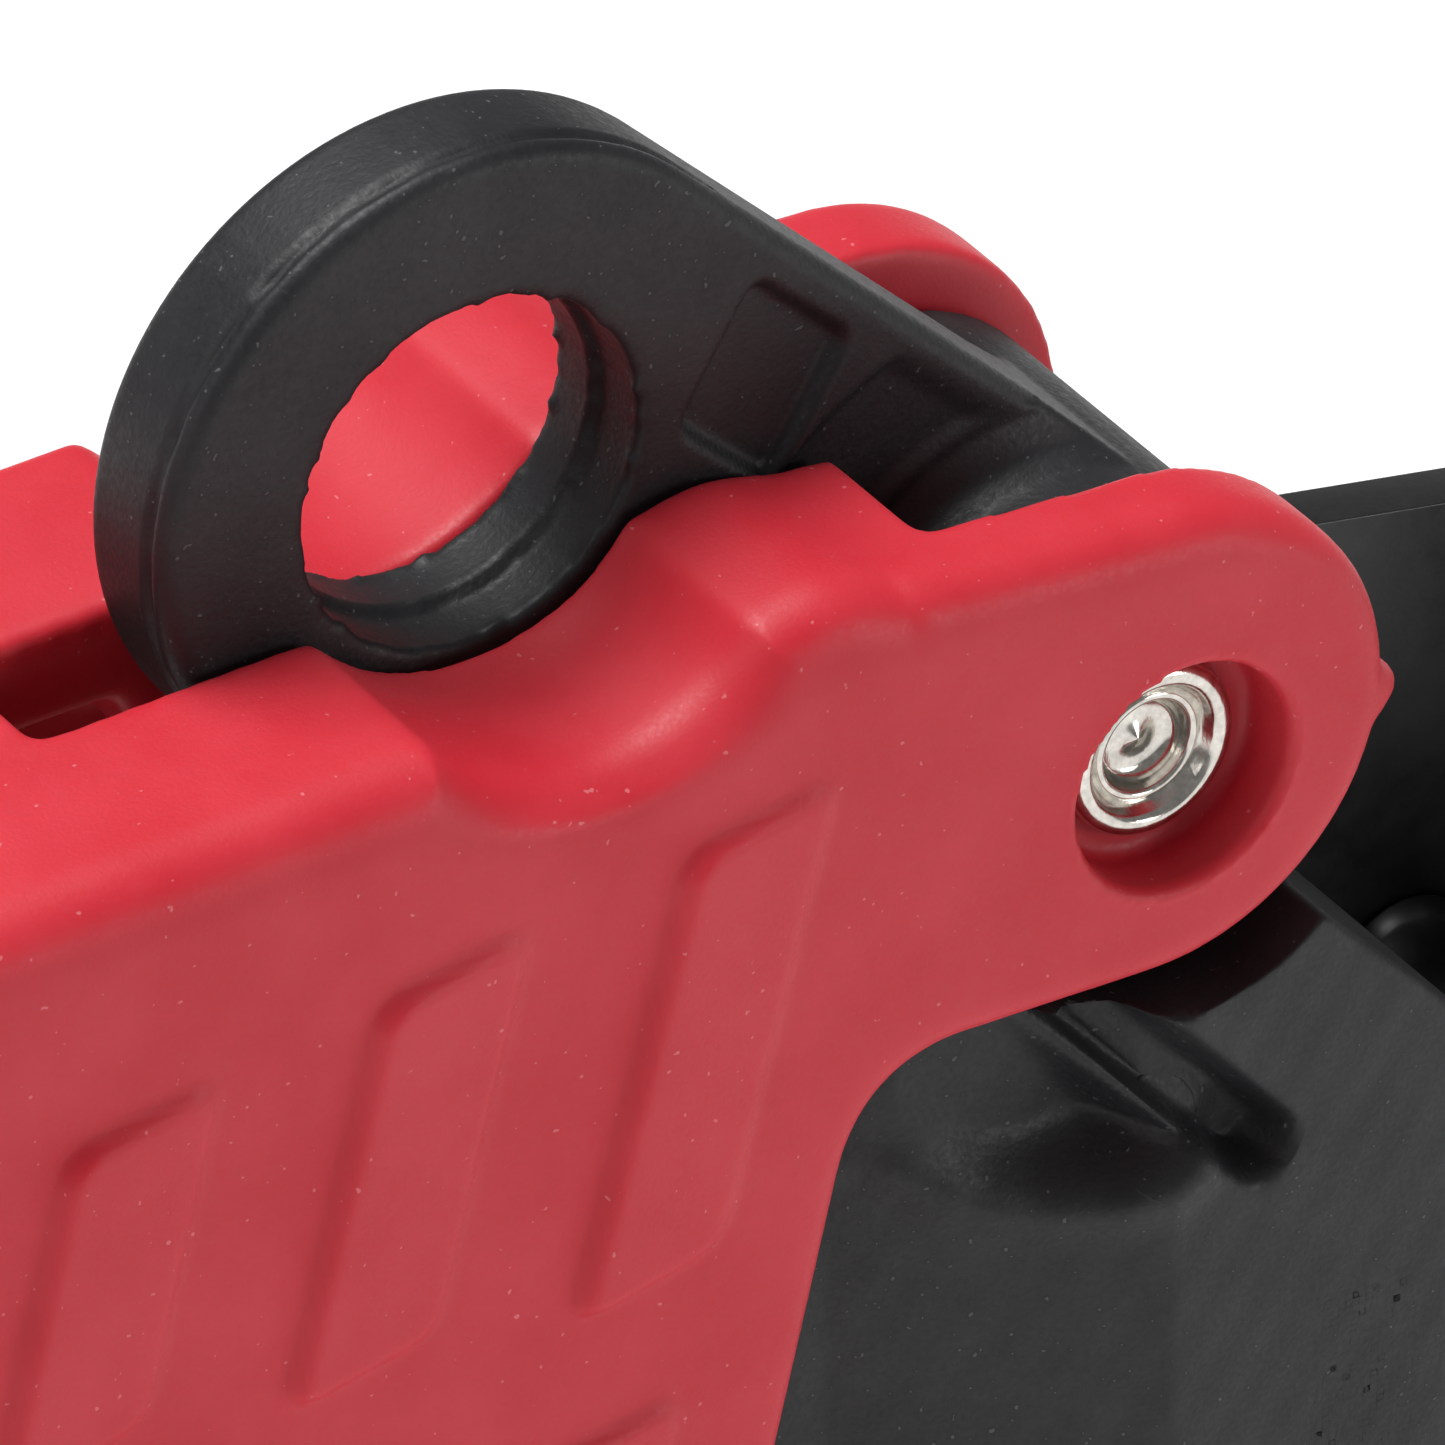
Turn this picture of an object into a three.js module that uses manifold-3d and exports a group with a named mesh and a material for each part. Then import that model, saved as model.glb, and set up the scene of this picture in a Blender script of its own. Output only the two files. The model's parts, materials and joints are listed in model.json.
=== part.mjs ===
// Lever-grip breaker lockout: a red lever closes a plunger clamp, and a padlock through the eye holds it closed.
// Millimetres, +Z up. The origin is the middle of the pillar's foot, straight below the lever's hinge.
import * as THREE from 'three';
import { mergeVertices } from 'three/addons/utils/BufferGeometryUtils.js';
import Module from 'manifold-3d';

const wasm = await Module();
wasm.setup();

// Driving dimensions. Stations along X and Z are counted from the hinge axis.
const pivotHeight = 34;
const halfWidth = 7.85;
const plateInside = 6.35;
const gap = 0.1;
const clampZ = -20;
const ear = { inner: 5.2, radius: 5.98, x: -0.4, z: 0.75, boreRadius: 1.75, recessRadius: 2.95, recessDepth: 1.8 };
const lever = { topZ: 7.55, wall: 2.4, tailX: -52, slotHalf: 1.75, slotEnd: -25.9, slotStart: -5.35, shoulderZ: 4.9 };
const scoop = { x: -14.95, halfChord: 4.15, depth: 1.95 };
const pusher = { face: -12, thick: 2.2, topZ: -17, footZ: -23.8 };
const eye = { x: -14.6, z: 10, radius: 8, holeRadius: 4.5, webHalf: 1.55, hubRadius: 5.1, hubHalf: 5, boreRadius: 2.35 };
const tongue = { half: 3.5, thickHalf: 3, footZ: -13.5, pinZ: -10.2, pinRadius: 1.25 };
const pillar = { left: -9.6, right: 8, taperFrom: -0.1, taperTo: -7.6, coreHalf: 4.9, hollowFloor: 5.7 };
const plunger = { rodRadius: 2, headRadius: 3.9, headLeft: -11, headThick: 1.2, jawLeft: 7.6, jawFace: 10, padFace: 11 };
const spring = { radius: 3.2, wire: 0.8, turns: 5, from: -9.3, to: -2.3, wellRadius: 4.3, wellFloor: -1.6 };
const nutBlock = { left: 24, right: 32, nearY: -5.5, topZ: -10, nutFrom: 26, nutThick: 4, nutFlats: 8 };
const screw = { radius: 2.4, tipRadius: 1.6, tip: 18.2, step: 20.5, end: 45.2 };
const swivel = { face: 16, rubber: 1.1, radius: 4.6, back: 19.6, boreRadius: 1.75 };
const wheel = { left: 37, right: 43, radius: 9, lobes: 10, lobeRadius: 1.5 };
const plate = { right: 32, left: 0.4, slopeFrom: [9, -5.3], slopeTo: [32, -10.2], footZ: -34 };
const countersunk = { headRadius: 2.7, shankRadius: 1.25, sink: 1.5 };
const pegPlace = { x: 16.3, z: -19.8 };
const plateScrews = [
  { x: 4.7, z: -11.2, depth: 3 },
  { x: 3.6, z: -29.2, depth: 5 },
  { x: 28, z: -13.4, depth: 1.7 },
  { x: 28, z: -29.4, depth: 5 },
];

const redPlastic = { color: 0xc83e46, roughness: 0.5, metalness: 0 };
const blackPlastic = { color: 0x262628, roughness: 0.6, metalness: 0 };
const blackPlate = { color: 0x111112, roughness: 0.35, metalness: 0.3 };
const steel = { color: 0xb9bbbd, roughness: 0.3, metalness: 1 };
const brass = { color: 0xb5924a, roughness: 0.35, metalness: 1 };
const rubber = { color: 0x1c1c1c, roughness: 0.85, metalness: 0 };

const group = new THREE.Group();
group.position.z = pivotHeight;

// Turns a closed geometry into a solid, leaving out the flat triangles that a pole or an axis makes.
function solidOf(geometry) {
  const bare = geometry.clone();
  bare.deleteAttribute('normal');
  bare.deleteAttribute('uv');
  const merged = mergeVertices(bare, 1e-4);
  const corners = merged.index.array;
  const kept = [];
  for (let i = 0; i < corners.length; i += 3) {
    const [a, b, c] = [corners[i], corners[i + 1], corners[i + 2]];
    if (a !== b && b !== c && c !== a) kept.push(a, b, c);
  }
  const points = merged.attributes.position.array;
  const build = (order) => new wasm.Manifold(
    new wasm.Mesh({ numProp: 3, vertProperties: points, triVerts: Uint32Array.from(order) }),
  );
  const first = build(kept);
  if (first.volume() > 0) return first;
  const turned = [];
  for (let i = 0; i < kept.length; i += 3) turned.push(kept[i], kept[i + 2], kept[i + 1]);
  return build(turned);
}

// An outline in X and Z, given thickness along Y.
function slab(outline, nearY, farY, curveSegments = 16) {
  const options = { depth: farY - nearY, bevelEnabled: false, curveSegments };
  const geometry = new THREE.ExtrudeGeometry(outline, options);
  geometry.rotateX(Math.PI / 2);
  geometry.translate(0, farY, 0);
  return solidOf(geometry);
}

// An outline in X and Y, given height along Z.
function column(outline, lowZ, highZ) {
  const geometry = new THREE.ExtrudeGeometry(outline, { depth: highZ - lowZ, bevelEnabled: false });
  geometry.translate(0, 0, lowZ);
  return solidOf(geometry);
}

function box(x0, x1, y0, y1, z0, z1) {
  const geometry = new THREE.BoxGeometry(x1 - x0, y1 - y0, z1 - z0);
  geometry.translate((x0 + x1) / 2, (y0 + y1) / 2, (z0 + z1) / 2);
  return solidOf(geometry);
}

// A profile of [radius, station] turned about a line along Y through (x, z).
function turnedY(profile, x, z, segments = 32) {
  const geometry = new THREE.LatheGeometry(profile.map(([r, s]) => new THREE.Vector2(r, s)), segments);
  geometry.translate(x, 0, z);
  return solidOf(geometry);
}

// The same about a line along X at the clamp's height.
function turnedX(profile, segments = 28) {
  const geometry = new THREE.LatheGeometry(profile.map(([r, s]) => new THREE.Vector2(r, s)), segments);
  geometry.rotateZ(-Math.PI / 2);
  geometry.translate(0, 0, clampZ);
  return solidOf(geometry);
}

function barProfile(radius, from, to) {
  return [[0, from], [radius, from], [radius, to], [0, to]];
}

function tubeProfile(inner, outer, from, to) {
  return [[inner, from], [outer, from], [outer, to], [inner, to], [inner, from]];
}

function polygon(points) {
  return new THREE.Shape(points.map(([a, b]) => new THREE.Vector2(a, b)));
}

function addPart(name, solid, finish) {
  const mesh = solid.getMesh();
  const geometry = new THREE.BufferGeometry();
  geometry.setAttribute('position', new THREE.BufferAttribute(mesh.vertProperties, 3));
  geometry.setIndex(new THREE.BufferAttribute(mesh.triVerts, 1));
  geometry.computeVertexNormals();
  const part = new THREE.Mesh(geometry, new THREE.MeshStandardMaterial(finish));
  part.name = name;
  group.add(part);
}

// The lever's side: hinge ear, top with the shackle's scoop, rounded tail, rising foot and slanted front edge.
function leverOutline() {
  const outline = new THREE.Shape();
  const scoopRadius = (scoop.halfChord ** 2 + scoop.depth ** 2) / (2 * scoop.depth);
  const scoopZ = lever.topZ - scoop.depth + scoopRadius;
  const half = Math.asin(scoop.halfChord / scoopRadius);
  outline.absarc(ear.x, ear.z, ear.radius, -1.66, Math.PI / 2, false);
  outline.lineTo(-8.6, lever.topZ);
  outline.absarc(scoop.x, scoopZ, scoopRadius, -Math.PI / 2 + half, -Math.PI / 2 - half, true);
  outline.lineTo(-45, lever.topZ);
  outline.quadraticCurveTo(lever.tailX + 1, lever.topZ, lever.tailX + 0.5, 1);
  outline.lineTo(lever.tailX, -5);
  outline.quadraticCurveTo(lever.tailX, -10.5, -47.5, -12.4);
  outline.lineTo(-18, -24.6);
  outline.quadraticCurveTo(-13.4, -26.2, -12.7, -23);
  outline.lineTo(-9, -7.6);
  outline.quadraticCurveTo(-8.5, -4.9, -6, -4.9);
  outline.closePath();
  return outline;
}

function leverHandle() {
  const inset = lever.wall;
  const hollow = polygon([
    [12, lever.shoulderZ + 8], [lever.slotStart, lever.shoulderZ + 8], [lever.slotStart, lever.shoulderZ],
    [-8.6, lever.shoulderZ], [-9.6, 2.6], [-20.6, 2.6], [-21.8, lever.shoulderZ], [-46, lever.shoulderZ],
    [lever.tailX + inset + 0.6, 1], [lever.tailX + inset, -40], [12, -40],
  ]);
  const wallTop = pusher.topZ;
  return slab(leverOutline(), -halfWidth, halfWidth)
    .subtract(slab(hollow, -ear.inner, ear.inner))
    .subtract(box(lever.slotEnd, lever.slotStart + 1, -lever.slotHalf, lever.slotHalf, 0, 12))
    .add(box(pusher.face - pusher.thick, pusher.face, -ear.inner - 1, ear.inner + 1, pusher.footZ, wallTop))
    .subtract(turnedY(barProfile(ear.boreRadius, -9, 9), 0, 0))
    .subtract(turnedY(barProfile(ear.recessRadius, -9, -halfWidth + ear.recessDepth), 0, 0))
    .subtract(turnedY(barProfile(ear.recessRadius, halfWidth - ear.recessDepth, 9), 0, 0));
}

// A rivet bored shallowly at both ends, whose two rims are rolled over the floors of the ears' recesses.
function hingeRivet() {
  const floor = halfWidth - ear.recessDepth + 0.05;
  const rim = floor + 0.45;
  const bottom = rim - 0.8;
  return turnedY([
    [0, -bottom], [0.9, -bottom], [1.1, -rim], [1.9, -rim - 0.05], [2.2, -rim + 0.12], [2.2, -floor], [1.65, -floor],
    [1.65, floor], [2.2, floor], [2.2, rim - 0.12], [1.9, rim + 0.05], [1.1, rim], [0.9, bottom], [0, bottom],
  ], 0, 0);
}

// Ring, arm and hub. The arm is a thin web that thickens through a fillet to the hub's full width.
function padlockEye() {
  const armSlope = 0.763;
  const reach = 4.8;
  const web = new THREE.Shape();
  const tangent = Math.PI / 2 - armSlope;
  web.absarc(eye.x, eye.z, eye.radius, tangent, 3.95, false);
  web.absarc(0, 0, eye.hubRadius - 0.1, 3.95, 2 * Math.PI + tangent, false);
  web.lineTo(reach * Math.cos(tangent), reach * Math.sin(tangent));
  web.closePath();
  const hubProfile = [
    [0, -eye.hubHalf], [eye.hubRadius, -eye.hubHalf], [eye.hubRadius, -2.6], [5.4, -1.95], [6.3, -1.5],
    [6.3, 1.5], [5.4, 1.95], [eye.hubRadius, 2.6], [eye.hubRadius, eye.hubHalf], [0, eye.hubHalf],
  ];
  const armSide = slab(web, -eye.hubHalf, eye.hubHalf);
  const fillet = turnedY(hubProfile, 0, 0, 48).intersect(armSide);
  return slab(web, -eye.webHalf, eye.webHalf)
    .add(fillet)
    .add(turnedY(barProfile(eye.hubRadius, -eye.hubHalf, eye.hubHalf), 0, 0, 48))
    .add(box(-tongue.half, tongue.half, -tongue.thickHalf, tongue.thickHalf, tongue.footZ, 0))
    .subtract(turnedY(barProfile(eye.boreRadius, -9, 9), 0, 0))
    .subtract(turnedY(barProfile(eye.holeRadius, -9, 9), eye.x, eye.z, 48))
    .subtract(turnedY(barProfile(tongue.pinRadius + gap, -9, 9), 0, tongue.pinZ, 20));
}

function screwHole({ x, z, depth }) {
  const { headRadius, shankRadius, sink } = countersunk;
  const face = halfWidth;
  return turnedY([
    [0, face - sink - depth - 0.3], [shankRadius + gap, face - sink - depth - 0.3],
    [shankRadius + gap, face - sink], [headRadius + gap, face], [headRadius + gap, face + 1], [0, face + 1],
  ], x, z, 20);
}

// The soft-bottomed hollow under each ear.
function earHollow() {
  const outline = new THREE.Shape();
  outline.moveTo(-12, -4);
  outline.lineTo(-12, -8.2);
  outline.lineTo(-6.2, -8.2);
  outline.quadraticCurveTo(-4.6, -10.9, -1.6, -10.8);
  outline.quadraticCurveTo(-0.2, -10.7, 0.3, -10.1);
  outline.lineTo(-4.1, -4.2);
  outline.closePath();
  return outline;
}

function pillarBody() {
  const { left, right, taperFrom, taperTo, coreHalf, hollowFloor } = pillar;
  const far = plateInside - gap;
  const foot = -pivotHeight;
  const plan = polygon([
    [left, -coreHalf], [taperTo, -coreHalf], [taperFrom, -halfWidth], [right, -halfWidth],
    [right, far], [taperFrom, far], [taperTo, coreHalf], [left, coreHalf],
  ]);
  const side = polygon([
    [left, foot], [right, foot], [right, -9.6], [4, -5.3], [-5.2, -5.3], [left, -8],
  ]);
  const hollow = earHollow();
  const groove = polygon([[-3, -5], [1.5, -11.05], [2.9, -11.9], [3.6, -10.9], [3.2, -10], [-0.5, -5]]);
  const hubSeat = turnedY(barProfile(eye.hubRadius + 0.15, -5.15, 5.15), 0, 0, 48);
  const earRoom = turnedY(barProfile(6.15, -9, 9), 0, 0, 48);
  const tongueRoom = box(
    -tongue.half - gap, tongue.half + gap, -tongue.thickHalf - gap, tongue.thickHalf + gap,
    tongue.footZ - 0.2, 0,
  );
  let body = column(plan, foot, 0).intersect(slab(side, -9, 9));
  body = body.subtract(slab(hollow, -9, -hollowFloor)).subtract(slab(hollow, hollowFloor, 9));
  body = body.subtract(slab(groove, -9, -halfWidth + 1.4));
  body = body.subtract(hubSeat).subtract(earRoom).subtract(tongueRoom);
  body = body.subtract(turnedX(barProfile(spring.wellRadius, left - 1, spring.wellFloor)));
  body = body.subtract(turnedX(barProfile(3.1, spring.wellFloor - 1, 9)));
  body = body.subtract(box(3.3, right + 1, -4.8, 4.8, clampZ - 4.6, clampZ + 4.6));
  body = body.subtract(turnedY(barProfile(tongue.pinRadius + gap, -5.3, 9), 0, tongue.pinZ, 20));
  for (const place of plateScrews) body = body.subtract(screwHole(place));
  return body;
}

function plateOutline() {
  const outline = new THREE.Shape();
  outline.moveTo(plate.left, plate.footZ);
  outline.lineTo(plate.right, plate.footZ);
  outline.lineTo(...plate.slopeTo);
  outline.lineTo(...plate.slopeFrom);
  outline.quadraticCurveTo(6.6, -5.2, 5.6, -7.2);
  outline.quadraticCurveTo(3.4, -8.4, plate.left, -8.6);
  outline.closePath();
  return outline;
}

function backPlate() {
  let body = slab(plateOutline(), plateInside, halfWidth);
  for (const place of plateScrews) body = body.subtract(screwHole(place));
  return body.subtract(turnedY(barProfile(1.2 + gap, 0, 9), pegPlace.x, pegPlace.z, 20));
}

function nutBlockBody() {
  const { left, right, nearY, topZ, nutFrom, nutThick, nutFlats } = nutBlock;
  const side = polygon([
    [left, -pivotHeight], [right, -pivotHeight], [right, topZ - 2.5], [right - 2.5, topZ],
    [left + 1.5, topZ], [left, topZ - 1.5],
  ]);
  const halfFlats = nutFlats / 2 + 0.15;
  let body = slab(side, nearY, plateInside - gap);
  body = body.subtract(turnedX(barProfile(screw.radius + gap, left - 1, right + 1)));
  body = body.subtract(box(
    nutFrom - gap, nutFrom + nutThick + gap, -halfFlats, halfFlats, clampZ - 4.8, topZ + 1,
  ));
  for (const place of plateScrews) body = body.subtract(screwHole(place));
  return body;
}

function captiveNut() {
  const { nutFrom, nutThick, nutFlats } = nutBlock;
  const corner = nutFlats / Math.sqrt(3);
  const hexagon = [];
  for (let i = 0; i < 6; i += 1) {
    const angle = (i * Math.PI) / 3;
    hexagon.push([corner * Math.cos(angle), corner * Math.sin(angle)]);
  }
  const geometry = new THREE.ExtrudeGeometry(polygon(hexagon), { depth: nutThick, bevelEnabled: false });
  geometry.rotateY(Math.PI / 2);
  geometry.translate(nutFrom, 0, clampZ);
  return solidOf(geometry).subtract(turnedX(barProfile(screw.radius + 0.05, nutFrom - 1, nutFrom + nutThick + 1)));
}

function springCoil() {
  class Helix extends THREE.Curve {
    getPoint(share) {
      const angle = share * spring.turns * 2 * Math.PI;
      const along = spring.from + share * (spring.to - spring.from);
      return new THREE.Vector3(along, spring.radius * Math.cos(angle), clampZ + spring.radius * Math.sin(angle));
    }
  }
  const wire = new THREE.Shape();
  wire.absarc(0, 0, spring.wire / 2, 0, 2 * Math.PI, false);
  const options = { steps: 14 * spring.turns, extrudePath: new Helix(), bevelEnabled: false, curveSegments: 4 };
  return solidOf(new THREE.ExtrudeGeometry(wire, options));
}

function thumbWheel() {
  const { left, right, radius, lobes, lobeRadius } = wheel;
  let body = turnedX([
    [0, left], [radius - 1, left], [radius, left + 1], [radius, right - 1], [radius - 1, right],
    [5, right], [5, right - 2.4], [0, right - 2.4],
  ], 40);
  for (let i = 0; i < lobes; i += 1) {
    const angle = (i * 2 * Math.PI) / lobes;
    const notch = new THREE.CylinderGeometry(lobeRadius, lobeRadius, right - left + 2, 12);
    notch.rotateZ(Math.PI / 2);
    const away = radius + 0.4;
    notch.translate((left + right) / 2, away * Math.cos(angle), clampZ + away * Math.sin(angle));
    body = body.subtract(solidOf(notch));
  }
  return body.subtract(turnedX(barProfile(screw.radius + 0.05, left - 1, right)));
}

function plateScrew({ depth }) {
  const { headRadius, shankRadius, sink } = countersunk;
  const face = halfWidth - 0.05;
  const tip = face - sink - depth;
  return [
    [0, tip], [shankRadius * 0.6, tip], [shankRadius, tip + 0.7], [shankRadius, face - sink],
    [headRadius - 0.05, face], [1.3, face], [1.3, face - 0.8], [0, face - 0.8],
  ];
}

addPart('lever_handle', leverHandle(), redPlastic);
addPart('hinge_rivet', hingeRivet(), steel);
addPart('wear_plate', box(pusher.face + gap, plunger.headLeft - 0.3, -4.6, 4.6, -23.5, -17.3), steel);

addPart('pillar_body', pillarBody(), blackPlastic);
addPart('padlock_eye', padlockEye(), blackPlastic);
addPart('hub_sleeve', turnedY(tubeProfile(1.72, 2.28, -4.95, 4.95), 0, 0), steel);
addPart('eye_cross_pin', turnedY(barProfile(tongue.pinRadius, -5.1, 6.2), 0, tongue.pinZ, 20), steel);
addPart('plunger_bush', turnedX(tubeProfile(2.1, 3, spring.wellFloor + 0.1, 3.1)), brass);
addPart('back_plate', backPlate(), blackPlate);
const pegProfile = [
  [0, 5.35], [1, 5.4], [1.7, 5.7], [1.9, 6.2], [1.9, 6.3], [1.2, 6.3], [1.2, halfWidth - 0.1], [0, halfWidth - 0.1],
];
addPart('stop_peg', turnedY(pegProfile, pegPlace.x, pegPlace.z, 24), steel);
plateScrews.forEach((place, index) => {
  addPart(`plate_screw_${index + 1}`, turnedY(plateScrew(place), place.x, place.z, 20), steel);
});
addPart('nut_block', nutBlockBody(), blackPlastic);
addPart('captive_nut', captiveNut(), brass);
const plugHalf = nutBlock.nutFlats / 2 + 0.05;
const plugRight = nutBlock.nutFrom + nutBlock.nutThick;
addPart('nut_pocket_plug', box(nutBlock.nutFrom, plugRight, -plugHalf, plugHalf, -15.1, nutBlock.topZ - 0.3), blackPlastic);

const rodProfile = [
  [0, plunger.headLeft], [plunger.headRadius - 0.3, plunger.headLeft],
  [plunger.headRadius, plunger.headLeft + 0.3], [plunger.headRadius, plunger.headLeft + plunger.headThick],
  [plunger.rodRadius, plunger.headLeft + plunger.headThick], [plunger.rodRadius, 8.8], [0, 8.8],
];
addPart('plunger_rod', turnedX(rodProfile), steel);
addPart('plunger_spring', springCoil(), steel);
const jawBlock = box(plunger.jawLeft, plunger.jawFace, -4.5, 4.5, clampZ - 4.3, clampZ + 4.3);
addPart('plunger_jaw', jawBlock.subtract(turnedX(barProfile(plunger.rodRadius + gap, 7, 9))), steel);
const padTeeth = [[plunger.jawFace + gap, clampZ - 4.1], [plunger.padFace - 0.4, clampZ - 4.1]];
const toothPitch = 8.2 / 6;
for (let i = 0; i < 6; i += 1) {
  const low = clampZ - 4.1 + i * toothPitch;
  padTeeth.push([plunger.padFace, low + toothPitch * 0.25], [plunger.padFace, low + toothPitch * 0.75]);
  padTeeth.push([plunger.padFace - 0.4, low + toothPitch]);
}
padTeeth.push([plunger.jawFace + gap, clampZ + 4.1]);
addPart('jaw_pad', slab(polygon(padTeeth), -4.3, 4.3), rubber);

const cupBore = swivel.face + swivel.rubber + 0.9;
addPart('swivel_cup', turnedX([
  [0, swivel.face + swivel.rubber + gap], [swivel.radius, swivel.face + swivel.rubber + gap],
  [swivel.radius, swivel.back - 0.5], [swivel.radius - 0.5, swivel.back], [swivel.boreRadius, swivel.back],
  [swivel.boreRadius, cupBore], [0, cupBore],
]), steel);
addPart('swivel_pad', turnedX([
  [0, swivel.face], [3.7, swivel.face], [4.3, swivel.face + 0.4], [4.3, swivel.face + swivel.rubber],
  [0, swivel.face + swivel.rubber],
]), rubber);
addPart('swivel_clip', turnedX(tubeProfile(1.68, 3, swivel.back + 0.1, swivel.back + 0.6)), steel);

addPart('adjusting_screw', turnedX([
  [0, screw.tip], [screw.tipRadius, screw.tip], [screw.tipRadius, screw.step], [screw.radius - 0.3, screw.step],
  [screw.radius, screw.step + 0.4], [screw.radius, screw.end - 0.4], [screw.radius - 0.4, screw.end], [0, screw.end],
]), steel);
addPart('thumb_wheel', thumbWheel(), redPlastic);
const nutSeat = wheel.right - 2.3;
const jamNut = turnedX(barProfile(4.4, nutSeat, nutSeat + 2.4), 6);
addPart('wheel_nut', jamNut.subtract(turnedX(barProfile(screw.radius + 0.05, nutSeat - 1, nutSeat + 3))), steel);
const capSeat = nutSeat + 2.5;
addPart('wheel_cap', turnedX([
  [screw.radius + 0.05, capSeat], [4.4, capSeat], [4.4, capSeat + 0.8], [3.6, screw.end + 0.9], [0, screw.end + 0.9],
  [0, screw.end + 0.1], [screw.radius + 0.05, screw.end + 0.1], [screw.radius + 0.05, capSeat],
]), blackPlastic);

export default group;
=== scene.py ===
import json
import math

import bmesh
import bpy
import numpy as np
from mathutils import Matrix, Vector


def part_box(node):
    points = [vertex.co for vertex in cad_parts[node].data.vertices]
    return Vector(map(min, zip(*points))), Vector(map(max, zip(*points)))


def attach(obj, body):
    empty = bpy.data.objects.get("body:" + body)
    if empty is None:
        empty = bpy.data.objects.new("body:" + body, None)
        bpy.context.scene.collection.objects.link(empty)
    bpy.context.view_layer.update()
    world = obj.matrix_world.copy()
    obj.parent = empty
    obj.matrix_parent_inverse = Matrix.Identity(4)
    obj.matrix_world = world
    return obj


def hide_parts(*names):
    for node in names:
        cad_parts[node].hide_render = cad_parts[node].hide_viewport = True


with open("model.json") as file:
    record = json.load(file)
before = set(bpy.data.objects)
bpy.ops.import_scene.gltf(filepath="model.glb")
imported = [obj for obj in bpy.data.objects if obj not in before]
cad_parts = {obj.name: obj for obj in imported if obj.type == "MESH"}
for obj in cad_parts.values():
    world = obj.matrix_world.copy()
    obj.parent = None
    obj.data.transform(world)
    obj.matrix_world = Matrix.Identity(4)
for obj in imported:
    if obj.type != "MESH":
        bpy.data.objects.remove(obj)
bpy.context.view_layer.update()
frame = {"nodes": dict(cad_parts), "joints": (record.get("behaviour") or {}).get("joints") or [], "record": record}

# Lever-grip breaker lockout. The scene is in metres; shaping is worked out in millimetres from the hinge axis.
mm = 0.001
hinge = next(joint for joint in frame["joints"] if joint["name"] == "lever_hinge")
pivot = np.array(hinge["pos_m"])


def linearColour(hexText, alpha=1.0):
    channels = [int(hexText[i:i + 2], 16) / 255 for i in (0, 2, 4)]
    linear = [c / 12.92 if c <= 0.04045 else ((c + 0.055) / 1.055) ** 2.4 for c in channels]
    return (*linear, alpha)


def connect(tree, node, links):
    # a source is an output, or a node whose first output is meant
    for name, source in links.items():
        output = source if isinstance(source, bpy.types.NodeSocket) else source.outputs[0]
        tree.links.new(output, node.inputs[name])


def addNode(tree, kind, settings=None, links=None):
    # settings go to a ramp's two stops, to sockets by name, or to the node's own properties
    node = tree.nodes.new(kind)
    for name, value in (settings or {}).items():
        if name == "stops":
            for element, (position, colour) in zip(node.color_ramp.elements, value):
                element.position = position
                element.color = colour
        elif name in node.inputs:
            node.inputs[name].default_value = value
        else:
            setattr(node, name, value)
    connect(tree, node, links or {})
    return node


def newMaterial(name, shaderSettings):
    material = bpy.data.materials.new(name)
    material.use_nodes = True
    tree = material.node_tree
    shader = tree.nodes["Principled BSDF"]
    for socket, value in shaderSettings.items():
        shader.inputs[socket].default_value = value
    place = addNode(tree, "ShaderNodeTexCoord").outputs["Object"]
    return material, tree, shader, place


def grey(value):
    return (value, value, value, 1.0)


def grainOf(sizeMm, detail=3.0, roughness=0.55):
    return {"Scale": 1.0 / (sizeMm * mm), "Detail": detail, "Roughness": roughness}


def deep(depthMm):
    return {"Distance": depthMm * mm, "Strength": 1.0}


mouldedNylon = {
    "red": {"glow": 0.25, "base": "bf2230", "pale": "c62e3b", "speck": "e08c90", "roughness": (0.42, 0.55),
            "grainMm": 0.11, "grainDepthMm": 0.006, "waveMm": 3.5, "waveDepthMm": 0.02,
            "speckShare": 0.765, "speckMm": 0.20},
    "black": {"glow": 0.0, "base": "17171a", "pale": "232325", "speck": "6a6a6c", "roughness": (0.44, 0.60),
              "grainMm": 0.16, "grainDepthMm": 0.014, "waveMm": 2.6, "waveDepthMm": 0.02,
              "speckShare": 0.745, "speckMm": 0.16},
}


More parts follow.
